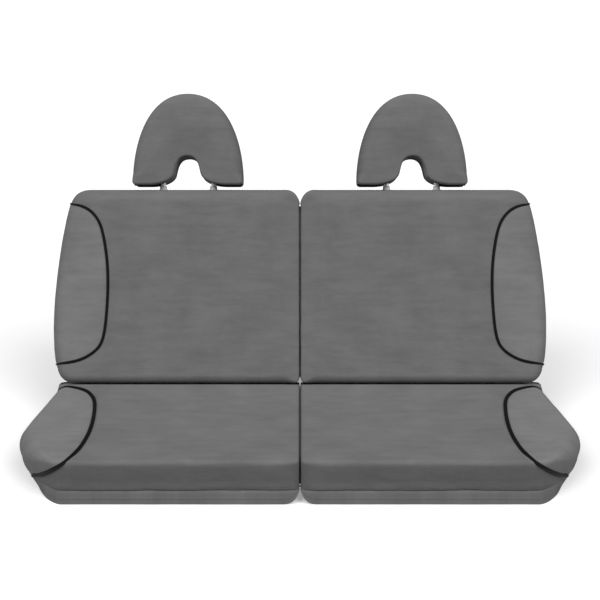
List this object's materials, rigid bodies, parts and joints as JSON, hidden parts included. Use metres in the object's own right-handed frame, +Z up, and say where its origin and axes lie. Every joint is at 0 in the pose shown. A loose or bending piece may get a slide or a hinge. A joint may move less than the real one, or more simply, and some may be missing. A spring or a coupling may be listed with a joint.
{
  "type": "rear bench seat cover set",
  "caption": "Fitted canvas covers for a split rear bench: base covers, folding backrest covers and lifting headrest covers with piped side bolsters.",
  "frame": {"origin": "middle of the set's footprint, on the plane that the hems stand on", "axes": "+X to the right as seen from the front, +Y to the rear, +Z up"},
  "size_m": [1.362, 0.7818, 0.8221],
  "materials": {
    "canvas": "matt grey cotton canvas, fine plain weave",
    "bolster_canvas": "matt grey cotton canvas, a shade lighter",
    "piping": "black piping cord in a folded canvas strip",
    "foam_lining": "dark open-cell foam with a knitted scrim",
    "webbing": "black woven elastic webbing",
    "black_plastic": "black nylon, fine moulded texture",
    "grey_plastic": "light grey nylon, fine moulded texture",
    "steel": "satin zinc-plated tube"
  },
  "bodies": {
    "seat_base": {"left_base_top_panel": "canvas", "left_base_bolster_panel": "bolster_canvas", "left_base_inner_gusset": "canvas", "left_base_tuck_panel": "canvas", "left_base_rear_panel": "canvas", "left_base_front_hem": "canvas", "left_base_side_hem": "canvas", "left_base_piping": "piping", "left_base_foam": "foam_lining", "left_base_strap_inner": "webbing", "left_base_glide_inner": "black_plastic", "left_base_strap_outer": "webbing", "left_base_glide_outer": "black_plastic", "right_base_top_panel": "canvas", "right_base_bolster_panel": "bolster_canvas", "right_base_inner_gusset": "canvas", "right_base_tuck_panel": "canvas", "right_base_rear_panel": "canvas", "right_base_front_hem": "canvas", "right_base_side_hem": "canvas", "right_base_piping": "piping", "right_base_foam": "foam_lining", "right_base_strap_inner": "webbing", "right_base_glide_inner": "black_plastic", "right_base_strap_outer": "webbing", "right_base_glide_outer": "black_plastic"},
    "backrest_left": {"left_back_front_panel": "canvas", "left_back_bolster_panel": "bolster_canvas", "left_back_edge_gusset": "canvas", "left_back_inner_gusset": "canvas", "left_back_rear_panel": "canvas", "left_back_piping": "piping", "left_back_foam": "foam_lining", "left_back_guide_inner": "grey_plastic", "left_back_guide_outer": "grey_plastic", "left_back_bottom_strap": "webbing"},
    "headrest_left": {"left_head_front_panel": "canvas", "left_head_rear_panel": "canvas", "left_head_arch_gusset": "canvas", "left_head_notch_gusset": "canvas", "left_head_stay": "steel", "left_head_closure_inner": "webbing", "left_head_closure_outer": "webbing"},
    "backrest_right": {"right_back_front_panel": "canvas", "right_back_bolster_panel": "bolster_canvas", "right_back_edge_gusset": "canvas", "right_back_inner_gusset": "canvas", "right_back_rear_panel": "canvas", "right_back_piping": "piping", "right_back_foam": "foam_lining", "right_back_guide_inner": "grey_plastic", "right_back_guide_outer": "grey_plastic", "right_back_bottom_strap": "webbing"},
    "headrest_right": {"right_head_front_panel": "canvas", "right_head_rear_panel": "canvas", "right_head_arch_gusset": "canvas", "right_head_notch_gusset": "canvas", "right_head_stay": "steel", "right_head_closure_inner": "webbing", "right_head_closure_outer": "webbing"}
  },
  "joints": [
    {"name": "backrest_left_fold", "type": "hinge", "parent": "seat_base", "child": "backrest_left", "pos_m": [0, 0.08911, 0.16813], "axis": [1, 0, 0], "range_deg": [0, 110]},
    {"name": "backrest_right_fold", "type": "hinge", "parent": "seat_base", "child": "backrest_right", "pos_m": [0, 0.08911, 0.16813], "axis": [1, 0, 0], "range_deg": [0, 110]},
    {"name": "headrest_left_slide", "type": "slide", "parent": "backrest_left", "child": "headrest_left", "axis": [0, 0.342, 0.9397], "range_m": [0, 0.06]},
    {"name": "headrest_right_slide", "type": "slide", "parent": "backrest_right", "child": "headrest_right", "axis": [0, 0.342, 0.9397], "range_m": [0, 0.06]}
  ]
}
